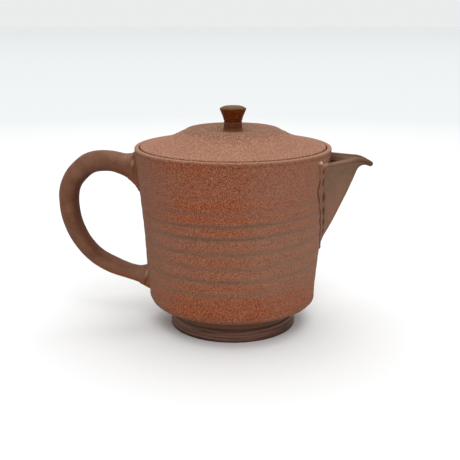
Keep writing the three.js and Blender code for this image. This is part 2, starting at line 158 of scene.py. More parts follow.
# Table, light and camera: brightness as the camera sees it, and as it lights the pot
table_half = 8.0
table_near, table_back, table_far, table_lit = "#ededed", "#d9dbdb", "#ced0d0", "#c8c8c8"
sky_seen, sky_lit = 0.84, 0.62
camera_aside, camera_back, camera_height, camera_tilt = 1.64, 450, 175.64, 0.264


# ---- tools ----

def wall_radius(z):
    return shoulder_radius + wall_taper * (z - shoulder_height)


def around(r, angle, z):
    """The point at a distance from the pot's axis, at an angle round it and a height."""
    return (r * math.cos(angle), r * math.sin(angle), z)


def ease(low, high, x):
    """0 below low, 1 above high, smooth between."""
    t = min(max((x - low) / (high - low), 0.0), 1.0)
    return t * t * (3 - 2 * t)


def mix(a, b, t):
    return a + (b - a) * t


def along_table(table, x):
    """Value of a table of (place, value) pairs at a place, straight between the pairs."""
    if x <= table[0][0]:
        return table[0][1]
    for (a, low), (b, high) in zip(table, table[1:]):
        if x < b:
            return mix(low, high, (x - a) / (b - a))
    return table[-1][1]


def uneven(point, size):
    """Slow hand-made unevenness, from -1 to 1, over lumps of a size in millimetres."""
    return noise.noise(Vector(point) / size)


def outline(corners, step=2.0):
    """Points along a turned profile. Each corner is (radius, height, rounding), and straight
    parts are cut into steps."""
    points = []
    last = len(corners) - 1
    ends = []
    for i, (r, z, rounding) in enumerate(corners):
        here = Vector((r, z))
        if i in (0, last) or rounding == 0:
            ends.append((here, here, None))
            continue
        before = Vector(corners[i - 1][:2]) - here
        after = Vector(corners[i + 1][:2]) - here
        a = here + before.normalized() * min(rounding, before.length * 0.49)
        b = here + after.normalized() * min(rounding, after.length * 0.49)
        ends.append((a, b, here))
    for i, (a, b, corner) in enumerate(ends):
        if i:
            start = ends[i - 1][1]
            count = max(1, round((a - start).length / step))
            points += [start.lerp(a, k / count) for k in range(1, count)]
        points.append(a)
        if corner is not None:
            rounds = 6
            for k in range(1, rounds + 1):
                t = k / rounds
                points.append(a.lerp(corner, t).lerp(corner.lerp(b, t), t))
    return [(p.x, p.y) for p in points]


def in_scene(name, data):
    """Puts a mesh, a lamp or a camera into the scene."""
    made = bpy.data.objects.new(name, data)
    bpy.context.scene.collection.objects.link(made)
    return made


def skin(name, rows, caps=False, **paints):
    """A smooth mesh through rings of points in millimetres, closed at both ends by caps. Each
    paint is a number for every point, which the piece's clay can read by its name."""
    shape = bmesh.new()
    layers = {paint: shape.verts.layers.float.new(paint) for paint in paints}
    grid = []
    for i, row in enumerate(rows):
        ring = []
        for k, (x, y, z) in enumerate(row):
            point = shape.verts.new((pot_axis + x * MM, y * MM, z * MM))
            for paint, layer in layers.items():
                point[layer] = paints[paint][i][k]
            ring.append(point)
        grid.append(ring)
    for low, high in zip(grid, grid[1:]):
        for i in range(len(low)):
            j = (i + 1) % len(low)
            shape.faces.new((low[i], low[j], high[j], high[i]))
    if caps:
        shape.faces.new(grid[0][::-1])
        shape.faces.new(grid[-1])
    bmesh.ops.remove_doubles(shape, verts=shape.verts, dist=1e-6)
    bmesh.ops.recalc_face_normals(shape, faces=shape.faces)
    mesh = bpy.data.meshes.new(name)
    shape.to_mesh(mesh)
    shape.free()
    for face in mesh.polygons:
        face.use_smooth = True
    return in_scene(name, mesh)


def painted_skin(name, rows):
    """A closed skin through rows of points, each with its shade and its flash."""
    points, shades, flashes = ([[spot[part] for spot in row] for row in rows] for part in range(3))
    return skin(name, points, caps=True, shade=shades, flash=flashes)


def turned(name, profile, segments, form=None):
    """A piece turned on the wheel. form may shift a point of the profile at each angle."""
    rows = []
    for r, z in profile:
        row = []
        for i in range(segments):
            angle = math.tau * i / segments
            rr, zz = form(r, z, angle) if form else (r, z)
            row.append(around(rr, angle, zz))
        rows.append(row)
    return skin(name, rows)


def turns_from_front(angle):
    """Turns from the front of the pot towards the spout, -0.5 to 0.5."""
    return math.remainder(angle + math.pi / 2, math.tau) / math.tau


def groove_count(z):
    """How many grooves lie below a height at the front, as a smooth number."""
    return along_table([(height, i) for i, height in enumerate(groove_heights)], z)


def throwing(z, angle):
    """Shape of the throwing spiral: -1 in a groove, up to 1 on the ridge between."""
    phase = groove_count(z) - turns_from_front(angle)
    phase += 0.06 * noise.noise(Vector((math.cos(angle), math.sin(angle), z / 14)) * 1.6)
    away = abs(phase - round(phase)) * 2
    return mix(-1, 1, ease(0.0, 0.7, away))


# ---- body, foot and lid ----

def body_form(r, z, angle):
    """The wall's grooves and unevenness, and the mound at the lower end of the handle."""
    spot = around(r, angle, z)
    if r > shoulder_radius - 2:
        from_handle = math.remainder(angle - math.pi, math.tau)
        r += along_table(root_mound, z) * math.exp(-(from_handle / mound_spread) ** 2)
    if r > wall_radius(z) - 0.6 * wall and shoulder_height < z < rim_height:
        fade = ease(shoulder_height, 28, z) * (1 - 0.75 * ease(80, 90, z)) * (1 - ease(97, 101, z))
        r += groove_depth * fade * throwing(z, angle)
        r += 0.06 * uneven(spot, 22) * ease(shoulder_height, 30, z) * (1 - ease(96, 101, z))
    elif floor_top < z < seat_under - 6:
        r += 0.25 * throwing(z * 0.93, angle)
    return r, z


def cut(piece, cutter):
    """Cuts one closed mesh from another and removes the cutter."""
    change = piece.modifiers.new("cut", "BOOLEAN")
    change.object = cutter
    change.operation = "DIFFERENCE"
    change.solver = "EXACT"
    graph = bpy.context.evaluated_depsgraph_get()
    made = bpy.data.meshes.new_from_object(piece.evaluated_get(graph))
    piece.modifiers.clear()
    old = piece.data
    name = old.name
    piece.data = made
    bpy.data.meshes.remove(old)
    made.name = name
    bpy.data.objects.remove(cutter)


def make_body():
    # The wall is straight between these heights.
    low, high = 24.0, 98.0
    slope_start = foot_radius - 0.6
    inside_top = seat_under - 4.4
    profile = outline([
        (0, body_base, 0),
        (slope_start, body_base, 0.6),
        (shoulder_radius + 0.1, body_base + underside_rise, 2.8),
        (wall_radius(low), low, 0),
    ], 0.8)
    rows = round((high - low) / 0.5)
    heights = [mix(low, high, k / rows) for k in range(1, rows)]
    profile += [(wall_radius(z), z) for z in heights]
    profile += outline([
        (wall_radius(high), high, 0),
        (rim_radius, rim_height, 1.0),
        (rim_radius - lip, rim_height, 0.7),
        (rim_radius - lip, seat_height, 0.5),
        (seat_radius, seat_height, 0.6),
        (seat_radius, seat_under, 0.6),
        (wall_radius(inside_top) - wall, inside_top, 1.5),
        (wall_radius(floor_top) - wall, floor_top, 9.0),
        (0, floor_top, 0),
    ], 1.5)
    body = turned("pot_body", profile, 288, body_form)
    # The pour opening is bored through the wall, and its edges are wiped round with a sponge.
    rings = []
    bore = [
        (2.5, 1.6), (0.2, 1.0), (-0.25, 0.45), (-0.9, 0.08), (-2.2, 0.08), (-2.85, 0.45), (-3.3, 1.0),
        (-6, 1.6),
    ]
    for depth, spread in bore:
        ring = []
        for i in range(48):
            angle = math.tau * i / 48
            y = (pour_radius + spread) * math.cos(angle)
            z = pour_height + (pour_radius + spread) * math.sin(angle)
            ring.append((math.sqrt((wall_radius(z) + depth) ** 2 - y * y), y, z))
        rings.append(ring)
    cut(body, skin("pour_cutter", rings, caps=True))
    return body


def make_foot():
    inside = foot_radius - foot_wall
    neck = foot_radius - foot_neck
    profile = outline([
        (inside, foot_height, 0),
        (inside, 0, 0.9),
        (foot_radius + 0.35, 0, 0.15),
        (foot_radius, foot_band + 0.35, 0.8),
        (neck + 0.1, foot_band + 0.8, 0.5),
        (neck, foot_height - 1.2, 1.2),
        (foot_radius - 0.5, foot_height + 0.2, 0.2),
        (inside, foot_height + 0.2, 0),
        (inside, foot_height, 0),
    ], 0.4)

    def form(r, z, angle):
        if r > neck - 0.5 and 0.8 < z < foot_height - 0.5:
            r += 0.06 * math.sin(z * math.tau / 1.3 + 0.4 * math.sin(angle))
        return r, z

    return turned("pot_foot", profile, 192, form)


def lid_rise(r):
    """Height of the lid's top above its edge, at a radius: a brim up to a low crest, round a
    slightly dished middle."""
    brim = lid_radius - lid_crest_radius
    shape = [
        (lid_radius, 0), (lid_crest_radius + 0.73 * brim, 0.16 * lid_crest_rise),
        (lid_crest_radius + 0.43 * brim, 0.47 * lid_crest_rise),
        (lid_crest_radius + 0.22 * brim, 0.78 * lid_crest_rise),
        (lid_crest_radius + 0.1 * brim, 0.97 * lid_crest_rise), (lid_crest_radius, lid_crest_rise),
        (13.9, lid_centre_rise + 0.675), (6.3, lid_centre_rise), (0, lid_centre_rise),
    ]
    for i, (far, near) in enumerate(zip(shape, shape[1:])):
        if r >= near[0]:
            t = (far[0] - r) / (far[0] - near[0])
            a, b = far[1], near[1]
            lead = (b - shape[max(i - 1, 0)][1]) / 2
            tail = (shape[min(i + 2, len(shape) - 1)][1] - a) / 2
            return (
                (2 * t**3 - 3 * t**2 + 1) * a + (t**3 - 2 * t**2 + t) * lead
                + (3 * t**2 - 2 * t**3) * b + (t**3 - t**2) * tail
            )
    return lid_centre_rise


def make_lid():
    land = lid_radius - lid_land
    edge = lid_radius - 1.0
    under = [(r, lid_base + lid_rise(r)) for r in [1.2 * k for k in range(1, 33)] if r < land - 1.8]
    profile = [(0, lid_base + lid_centre_rise), *under]
    profile += outline([
        (land, lid_base, 0), (lid_radius, lid_base, 0.5),
        (lid_radius, lid_edge - 0.1, 0.6), (edge, lid_edge + lid_rise(edge), 0),
    ], 1.0)
    profile += [(r, lid_edge + lid_rise(r)) for r in [edge - 0.6 * k for k in range(1, 84)] if r > 0]
    profile.append((0, lid_edge + lid_centre_rise))

    def form(r, z, angle):
        spot = around(r, angle, z)
        if z > lid_edge - 0.5 and r < edge - 0.4:
            fade = ease(lid_radius, lid_radius - 5, r)
            z += fade * 0.05 * math.sin(r * math.tau / 4.1 + 1.1 * uneven(spot, 18))
            z += fade * 0.1 * uneven(spot, 16)
        return r, z

    lid = turned("lid_dome", profile, 240, form)
    rings = []
    centre = lid_edge + lid_centre_rise
    for z, wider in [(centre + 3, 1.1), (centre + 1.2, 0.6), (centre + 0.2, 0), (lid_base, 0)]:
        radius = steam_hole_radius + wider
        angles = [math.tau * i / 32 for i in range(32)]
        rings.append([(radius * math.cos(a), steam_hole_offset + radius * math.sin(a), z) for a in angles])
    cut(lid, skin("steam_cutter", rings, caps=True))
    return lid


def make_flange():
    top = lid_base + 0.1
    bottom = lid_base - 0.3 - flange_depth
    profile = outline([
        (flange_radius - flange_wall, top, 0),
        (flange_radius - flange_wall, bottom, 1.0),
        (flange_radius, bottom, 1.0),
        (flange_radius, top, 0),
        (flange_radius - flange_wall, top, 0),
    ], 1.0)
    return turned("lid_collar", profile, 192)


def make_knob():
    profile = [(0, knob_base - 0.2)]
    profile += outline([
        (knob_neck + 0.7, knob_base - 0.2, 0),
        (knob_neck + 0.1, knob_base + 0.9, 0.8),
        (knob_neck, knob_waist, 0.5),
        (knob_neck + 0.55, knob_waist + 2.2, 1.0),
        (knob_radius, knob_edge - 0.1, 0.25),
        (knob_radius - 0.5, knob_edge + 0.35, 0.3),
        (knob_radius - 2.4, knob_top - 0.1, 1.4),
        (0, knob_top, 0),
    ], 0.22)

    def form(r, z, angle):
        if r > 4 and knob_base + 1 < z < knob_edge - 0.6:
            line = max(math.cos((z - knob_waist) * math.tau / knob_line_step), 0) ** 3
            r -= 0.1 * line
        if r > 4:
            r -= 0.16 * max(0, 1 - abs(z - knob_waist) / 0.45)
        return r, z

    return turned("lid_knob", profile, 96, form)


# ---- spout ----

def spout_width(z):
    share = max((z - keel_foot) / (spout_top - keel_foot), 0.03)
    return spout_half_width * math.sin(math.pi / 2 * share**0.85)


def on_wall(half_width, z):
    return Vector((math.sqrt(wall_radius(z) ** 2 - half_width**2), half_width, z))


def keel(z):
    if z <= throat_height:
        share = (z - keel_foot) / (throat_height - keel_foot)
        return Vector((wall_radius(z) + throat_reach * share * (1 + keel_bulge * (1 - share)), 0, z))
    throat = keel(throat_height)
    tip = Vector((throat.x + beak_reach, 0, spout_top - beak_droop))
    bend = Vector((throat.x + 0.25 * beak_reach, 0, spout_top - 0.37 * beak_droop))
    t = (z - throat_height) / throat_drop
    return throat.lerp(bend, t).lerp(bend.lerp(tip, t), t)


def flank_end(z, side):
    start = on_wall(side * spout_width(z), z)
    nose = keel(z)
    straight = nose.lerp(start, min(0.5, nose_length / (nose - start).length))
    if z <= throat_height:
        return straight
    beak_root = keel(throat_height).x + beak_root_reach
    root = Vector((beak_root, side * beak_root_half, spout_top - beak_root_drop))
    return flank_end(throat_height, side).lerp(root, (z - throat_height) / throat_drop)


def spout_anchors(z):
    """Flank inside the wall, end of the flank, keel, and the same two on the far side."""
    found = {}
    for side in (-1, 1):
        start = on_wall(side * spout_width(z), z)
        end = flank_end(z, side)
        found[side] = (start - (end - start).normalized() * 1.0, end)
    return [found[-1][0], found[-1][1], keel(z), found[1][1], found[1][0]]


def half_section(inside, end, nose, flank_steps=10, nose_steps=14):
    along = (end - inside).normalized()
    lead = end + along * ((nose_fullness + 0.07) * (end - nose).length)
    tail = nose + Vector((0, nose_fullness * end.y, 0))
    points = [inside.lerp(end, k / flank_steps) for k in range(flank_steps)]
    for k in range(nose_steps + 1):
        t = k / nose_steps
        a, b, c = end.lerp(lead, t), lead.lerp(tail, t), tail.lerp(nose, t)
        points.append(a.lerp(b, t).lerp(b.lerp(c, t), t))
    return points


def section_through(anchors):
    near = half_section(anchors[0], anchors[1], anchors[2])
    far = half_section(anchors[4], anchors[3], anchors[2])
    return near + far[::-1][1:]


def rim_shade(p):
    """The rim is darker towards the beak."""
    return mix(0.05, -0.35, ease(60, 70, p.x)) - 0.3 * ease(70, 75, p.x)


def make_spout():
    heights = [mix(keel_foot + 0.4, throat_height, k / 40) for k in range(40)]
    heights += [throat_height + throat_drop * k / 24 for k in range(25)]
    rows = [spout_anchors(z) for z in heights]
    last = len(rows) - 1

    def moved(row, distance, lift=0.0):
        below, above = rows[max(row - 1, 0)], rows[min(row + 1, last)]
        points = []
        for i, point in enumerate(rows[row]):
            before, after = rows[row][max(i - 1, 0)], rows[row][min(i + 1, 4)]
            up = above[i] - below[i]
            outward = (after - before).cross(up).normalized()
            points.append(point + outward * distance + up.normalized() * lift)
        return section_through(points)

    loops, shade_and_wear, warmth = [], [], []
    half = spout_wall / 2
    count = len(moved(0, 0))
    # Painted shade along the nose of the keel
    nose_shade = [-0.45 * ease(0.86, 0.99, 1 - abs(k / (count - 1) - 0.5) * 2) for k in range(count)]
    for row in range(last - 4):
        inside = moved(row, -spout_wall)[::-1]
        loops.append(moved(row, 0) + inside)
        # The trough is painted dark in the corner by the wall, as shade, and pale with ash further out.
        trough = []
        for p in inside:
            deep = ease(13, 4, math.hypot(p.x, p.y) - wall_radius(p.z)) * ease(96, 91, p.z)
            line = 0.25 * math.sin(p.z * math.tau / 2.1) * ease(87, 89, p.z)
            trough.append(0.3 - 1.2 * deep + line)
        shade_and_wear.append(nose_shade + trough)
        warmth.append([ease(92, 60, p.z) for p in loops[-1]])
    for k in range(9):
        turn = math.pi / 2 * k / 8
        inset = half * (1 - math.cos(turn)) * 0.98
        lift = half * (math.sin(turn) - 1) * 0.9
        loops.append(moved(last, -inset, lift) + moved(last, -spout_wall + inset, lift)[::-1])
        under = 0.7 * (k == 0)
        shade_and_wear.append([rim_shade(p) - under for p in loops[-1]])
        warmth.append([0.25 * ease(67, 73, p.x) for p in loops[-1]])
    for loop in loops:
        for point in loop:
            point.x += 0.1 * uneven(point, 9)
    return skin("spout_trough", loops, caps=True, shade=shade_and_wear, flash=warmth)


def joint_arc(z):
    """Distance round the wall from the spout's middle to its joint, at a height."""
    return wall_radius(z) * math.asin(spout_width(min(z, spout_top)) / wall_radius(z))


def flank_rise(at):
    """Height of the spout's flank over the wall, at a place on the unrolled wall."""
    inside = max(joint_arc(at.y) - abs(at.x), 0)
    rise = inside * mix(0.37, 0.3, ease(50, 75, at.y)) + inside**2 / 104
    return rise * ease(spout_top + 1.2, spout_top - 0.2, at.y)


def rolled_up(at, h):
    """The point at a height over the wall, for a place on the unrolled wall."""
    angle = at.x / wall_radius(at.y)
    return around(wall_radius(at.y) + h, angle, at.y)


def pressed(d, z):
    """How deep the tool went in, 0 to 1, at a distance out from the joint."""
    return max(
        ease(1.3, 0.5, math.hypot((d + offset) / 1.2, (z - height) / (half + 0.3)))
        for height, offset, half in tool_marks
    )


def lengths_along(path):
    lengths = [0.0]
    for a, b in zip(path, path[1:]):
        lengths.append(lengths[-1] + (b - a).length)
    return lengths


def make_strip():
    """Luting clay, smeared from both flanks of the spout onto the wall with a wavy edge, and
    pressed in along the joint with the end of a tool."""
    sides = [mix(spout_top + 4.0, keel_foot - 0.2, k / 96) for k in range(97)]
    path = [Vector((-joint_arc(z), z)) for z in sides]
    path += [Vector((x, keel_foot - drop)) for x, drop in ((-1.0, 1.0), (0.0, 1.4), (1.0, 1.0))]
    path += [Vector((joint_arc(z), z)) for z in sides[::-1]]
    lengths = lengths_along(path)
    rows = []
    count, across = 360, 48
    k = 0
    for i in range(count + 1):
        s = lengths[-1] * i / count
        while k < len(path) - 2 and lengths[k + 1] < s:
            k += 1
        here = path[k].lerp(path[k + 1], (s - lengths[k]) / (lengths[k + 1] - lengths[k]))
        along = (path[min(k + 4, len(path) - 1)] - path[max(k - 3, 0)]).normalized()
        out = Vector((along.y, -along.x))
        if out.dot(here - Vector((0, 80))) < 0:
            out.negate()
        z = here.y
        side = 1 if here.x > 0 else -1
        width = along_table(strip_widths, z)
        width += 0.5 * uneven((z, side * 7, 0), 4) + 0.3 * uneven((z, side * 7, 9), 1.4)
        inner = min(strip_flank_width, 0.8 * abs(here.x) + 0.4)
        row = []
        for c in range(across + 1):
            d = mix(-inner, width, c / across)
            cover = mix(-0.2, strip_cover, ease(-inner, 0.5 - 0.7 * inner, d))
            cover = mix(cover, -0.2, ease(width - 0.9, width, d))
            top = spout_top + mix(1.2, 3.2, ease(2, 6, d))
            cover = mix(-0.3, cover, ease(top, top - 1.3, z))
            slot = pressed(d, z)
            nub = sum(
                share * math.exp(-((d - out_by) / long) ** 2 - ((z - spout_top - rise) / high) ** 2)
                for out_by, rise, long, high, share in nubs
            )
            rough = 0.14 * uneven((d, z, side * 5), 1.5) + 0.12 * uneven((d, z / 2, side * 5), 3)
            at = here + out * d
            smear = rough * ease(width, width - 1.2, d) * ease(-1.0, 1.0, d)
            height = flank_rise(at) + cover - mark_depth * slot + nub_height * nub + smear
            # Painted shade along the strip's edge
            crease_shade = math.exp(-((d - width + 0.6) / 0.38) ** 2) * along_table(strip_edges, z)
            rim_light = 0.25 * ease(top - 2.4, top - 1.2, z)
            # The tool marks are painted dark as shade in their hollows; rim_light is painted light on the
            # strip's top.
            shade = nub + rim_light - 0.95 * slot - 0.8 * crease_shade
            row.append((rolled_up(at, height), shade, ease(-1.0, width - 1.0, d)))
        for c in range(across + 1):
            behind = rolled_up(here + out * mix(width, -inner, c / across), -0.8)
            row.append((behind, -1.0, 0.0))
        rows.append(row)
    return painted_skin("spout_luting", rows)


# ---- handle ----

def handle_points():
    span = upper_joint - lower_joint
    spots = [(-2.2, upper_joint)]
    spots += [(reach * handle_reach, lower_joint + height * span) for reach, height in handle_path]
    spots.append((-2.2, lower_joint - 1.3))
    return [Vector((-(wall_radius(z) + reach), 0, z)) for reach, z in spots]


def smooth_path(points, steps):
    """Evenly spaced points on a centripetal curve through the given points, and its length."""
    dense = []
    for i in range(len(points) - 1):
        p1, p2 = points[i], points[i + 1]
        p0 = points[i - 1] if i else p1 * 2 - p2
        p3 = points[i + 2] if i + 2 < len(points) else p2 * 2 - p1
        t1 = (p1 - p0).length ** 0.5
        t2 = t1 + (p2 - p1).length ** 0.5
        t3 = t2 + (p3 - p2).length ** 0.5
        for k in range(40):
            t = mix(t1, t2, k / 40)
            a1 = p0 * ((t1 - t) / t1) + p1 * (t / t1)
            a2 = p1 * ((t2 - t) / (t2 - t1)) + p2 * ((t - t1) / (t2 - t1))
            a3 = p2 * ((t3 - t) / (t3 - t2)) + p3 * ((t - t2) / (t3 - t2))
            b1 = a1 * ((t2 - t) / t2) + a2 * (t / t2)
            b2 = a2 * ((t3 - t) / (t3 - t1)) + a3 * ((t - t1) / (t3 - t1))
            dense.append(b1 * ((t2 - t) / (t2 - t1)) + b2 * ((t - t1) / (t2 - t1)))
    dense.append(points[-1])
    lengths = lengths_along(dense)
    even = []
    k = 0
    for i in range(steps + 1):
        s = lengths[-1] * i / steps
        while k < len(dense) - 2 and lengths[k + 1] < s:
            k += 1
        even.append(dense[k].lerp(dense[k + 1], (s - lengths[k]) / (lengths[k + 1] - lengths[k])))
    return even, lengths[-1]


handle_line, handle_length = smooth_path(handle_points(), handle_steps)
handle_line = [
    sum(handle_line[i - reach:i + reach + 1], Vector()) / (2 * reach + 1)
    for i, reach in enumerate(min(i, handle_steps - i, 12) for i in range(handle_steps + 1))
]


def averaged(table, x, reach):
    """Value of a table, averaged over a reach on both sides."""
    return sum(along_table(table, x + s) for s in (-reach, 0, reach)) / 3


def handle_skin(along, angle):
    """Centre of the handle at a distance from its upper end, and the point of its skin at an
    angle round it. The inside of the loop is at a quarter turn."""
    at = along / handle_length * handle_steps
    k = min(int(at), handle_steps - 1)
    centre = handle_line[k].lerp(handle_line[k + 1], at - k)
    tangent = (handle_line[min(k + 3, handle_steps)] - handle_line[max(k - 2, 0)]).normalized()
    inward = Vector((-tangent.z, 0, tangent.x))
    inner = math.sin(angle)
    left = handle_length - along
    upper_end, lower_end = (upper_under, lower_over) if inner > 0 else (upper_over, lower_under)
    spread = averaged(upper_end, along, 0.7) + averaged(lower_end, left, 0.7)
    share = along / handle_length
    half = along_table([(0, handle_upper), (0.28, handle_middle), (1, handle_lower)], share) / 2
    half += averaged(handle_swell, share, 0.03)
    centre = centre - inward * averaged(handle_shift, share, 0.03)
    side = handle_width / 2 + along_table(side_spread, min(along, left))
    return centre, centre + Vector((0, side * math.cos(angle), 0)) + inward * ((half + spread) * inner)


def make_handle():
    steps = 200
    rows = []
    for i in range(steps + 1):
        share = i / steps
        row = []
        for k in range(56):
            angle = math.tau * k / 56
            inner = math.sin(angle)
            centre, point = handle_skin(handle_length * share, angle)
            away = (point - centre).normalized()
            rough = 0.16 * uneven(point, 9) + 0.04 * uneven(point, 2.6)
            # Painted shade on the inside of the loop
            dark = along_table(loop_painted_shade, share) * ease(0.3, 0.9, inner + 0.15 * uneven(point, 9))
            # Painted shade on the upright part of the loop
            dark += 0.12 * ease(0.26, 0.34, share) * ease(0.8, 0.68, share)
            # Painted light on the top of the upper arm
            pale = 0.2 * ease(0.2, 0.1, share) * ease(-0.3, -0.8, inner)
            # Painted sheen along the lower arm and near its end
            painted_lower_sheen = 0.1 * ease(0.68, 0.76, share) + 0.08 * ease(0.84, 0.92, share)
            pale += painted_lower_sheen * ease(-0.6, -0.1, inner)
            # Warmer colour on the underside of both arms, which is the outside of the lower one.
            low_arm = ease(0.64, 0.84, share) * ease(0.2, -0.35, inner)
            high_arm = ease(0.16, 0.08, share) * ease(0.1, 0.5, inner)
            row.append((point + away * rough, pale - dark, max(low_arm, high_arm)))
        rows.append(row)
    return painted_skin("handle_loop", rows)


def make_root(name, upper):
    """A thin smear of clay round the end of the handle, which fastens it to the wall."""
    rows = []
    dabs_and_shade = upper_dabs_and_shade if upper else lower_dabs_and_shade
    for i in range(57):
        along = root_reach * i / 56
        row = []
        for k in range(80):
            angle = math.tau * k / 80
            inner = math.sin(angle)
            centre, point = handle_skin(along if upper else handle_length - along, angle)
            away = (point - centre).normalized()
            edge = 6.4 if upper else 7.8
            edge += 1.5 * uneven((3 * math.cos(angle), 3 * inner, 7 * upper), 1.5)
            cover = mix(root_cover, -0.25, ease(edge - 1.2, edge, along))
            if not upper:
                # Thinner under the lower arm
                cover *= mix(1, 0.4, ease(0.2, 0.9, -inner))
            # Pale dabs are partly painted highlights, dark ones painted shade in the creases
            dab_shade = sum(
                value * math.exp(-((along - a) / wide) ** 2 - ((inner - b) / high) ** 2)
                for a, b, wide, high, value in dabs_and_shade
            )
            rough = 0.15 * uneven(point, 3.2) + 0.08 * uneven(point, 1.3)
            cover += rough * ease(edge, edge - 1.5, along) + 0.12 * dab_shade
            warmth = 0.9 * (ease(0.1, -0.6, -inner) if upper else ease(0.4, -0.3, inner))
            row.append((point + away * cover, dab_shade, warmth))
        rows.append(row)
    return painted_skin(name, rows)


# ---- clay ----

def colour(code):
    """sRGB hex to the linear colour that shaders use."""
    channels = [int(code[i:i + 2], 16) / 255 for i in (1, 3, 5)]
    return (*(c / 12.92 if c <= 0.04045 else ((c + 0.055) / 1.055) ** 2.4 for c in channels), 1.0)


def bare_tree(owner):
    """The node tree of a material or of the surroundings, emptied."""
    owner.use_nodes = True
    owner.node_tree.nodes.clear()
    return owner.node_tree


def add(tree, kind, inputs, take=0, stops=(), curve=(), **settings):
    """Adds a node with its settings, fills its inputs with values or links, and gives back the
    output to take, or all of them for None."""
    made = tree.nodes.new("ShaderNode" + kind)
    for key, value in settings.items():
        setattr(made, key, value)
    for key, value in inputs.items():
        if isinstance(value, bpy.types.NodeSocket):
            tree.links.new(value, made.inputs[key])
        else:
            made.inputs[key].default_value = value
    if stops:
        band = made.color_ramp
        while len(band.elements) < len(stops):
            band.elements.new(0.5)
        for element, (place, shade) in zip(band.elements, stops):
            element.position = place
            element.color = colour(shade) if isinstance(shade, str) else (shade, shade, shade, 1)
    if curve:
        line = made.mapping.curves[0]
        while len(line.points) < len(curve):
            line.points.new(0.5, 0.5)
        for point, place in zip(line.points, curve):
            point.location = place
            point.handle_type = "VECTOR"
        made.mapping.update()
    return made.outputs if take is None else made.outputs[take]


def product(tree, *parts):
    """The product of its parts. A part is a number, a node's output, or an output with the
    stops that it follows from 0 to 1."""
    total = None
    for part in parts:
        if isinstance(part, tuple):
            part = add(tree, "ValToRGB", {0: part[0]}, stops=part[1:])
        total = part if total is None else add(tree, "Math", {0: total, 1: part}, operation="MULTIPLY")
    return total


def wash(tree, tone, over, *parts):
    """A tone with another over it, as much as the product of the parts."""
    over = colour(over) if isinstance(over, str) else over
    return add(tree, "Mix", {0: product(tree, *parts), 6: tone, 7: over}, take=2, data_type="RGBA")


def bands_of(tree, tone, height, top, bands):
    """A tone with bands of colour over it, each by its height in millimetres up to the top."""
    share = product(tree, height, 1 / top)
    for code, *stops in bands:
        tone = wash(tree, tone, code, (share, *[(z / top, value) for z, value in stops]))
    return tone


def blotches(tree, place, size, detail=3.0, roughness=0.55):
    """Uneven patches in the clay, about 0.3 to 0.7, of a size in millimetres. Streaks drawn
    out around the pot have a height and a length."""
    height, length = size if isinstance(size, tuple) else (size, size)
    scale = [1 / (span * MM) for span in (length, length, height)]
    drawn = add(tree, "Mapping", {"Vector": place, "Scale": scale})
    return add(tree, "TexNoise", {
        "Vector": drawn, "Scale": 1.0, "Detail": detail, "Roughness": roughness,
    })


def cylinder_place(tree, place):
    """Height in millimetres, turns from the front towards the spout, and distance out."""
    parts = add(tree, "SeparateXYZ", {0: place}, take=None)
    x = add(tree, "Math", {0: parts[0], 1: pot_axis}, operation="SUBTRACT")
    y = product(tree, parts[1], -1.0)
    angle = add(tree, "Math", {0: x, 1: y}, operation="ARCTAN2")
    turns = add(tree, "Math", {0: angle, 1: math.tau}, operation="DIVIDE")
    squares = add(tree, "Math", {0: product(tree, x, x), 1: product(tree, y, y)}, operation="ADD")
    out = add(tree, "Math", {0: squares}, operation="SQRT")
    return product(tree, parts[2], 1 / MM), turns, product(tree, out, 1 / MM)


def clay(name, paint, grit, roughness, shine):
    """Fired, unglazed stoneware. paint gives its colour, the height of its fine lines and how
    clearly its grains show. grit is how strong the pale and dark grains are, and the colours
    of both. Bare clay is full of pores, so it has little of a glaze's shine."""
    made = bpy.data.materials.new(name)
    tree = bare_tree(made)
    place = add(tree, "TexCoord", {}, take="Object")
    tone, lines, show = paint(tree, place)
    pale, dark, sand, iron = grit
    # Grains of sand and iron are about 0.3 mm; they are drawn nearly twice as coarse, to show
    # at this distance.
    grains = blotches(tree, place, 0.55, 1.0, 0.5)
    tone = wash(tree, tone, sand, (grains, (0.5, 0.0), (0.64, 1.0)), pale, show)
    tone = wash(tree, tone, iron, (grains, (0.36, 1.0), (0.5, 0.0)), dark, show)
    # Here and there a larger grain, about 0.9 mm across
    cells = add(tree, "TexVoronoi", {"Vector": place, "Scale": 1 / (2.6 * MM)}, take=None)
    dots = (cells["Distance"], (0.12, 1.0), (0.22, 0.0))
    some = (cells["Color"], (0.5, 0.0), (0.6, 1.0))
    tone = wash(tree, tone, sand, dots, some, pale, show, 0.7)
    grain_bump = add(tree, "Bump", {"Strength": 0.4, "Distance": 0.12 * MM, "Height": grains})
    line_bump = add(tree, "Bump", {
        "Strength": 0.5, "Distance": 0.15 * MM, "Height": lines, "Normal": grain_bump,
    })
    surface = add(tree, "BsdfPrincipled", {
        "Base Color": tone, "Roughness": roughness, "IOR": 1.5, "Specular IOR Level": shine,
        "Normal": line_bump,
    })
    add(tree, "OutputMaterial", {"Surface": surface}, take=None)
    return made


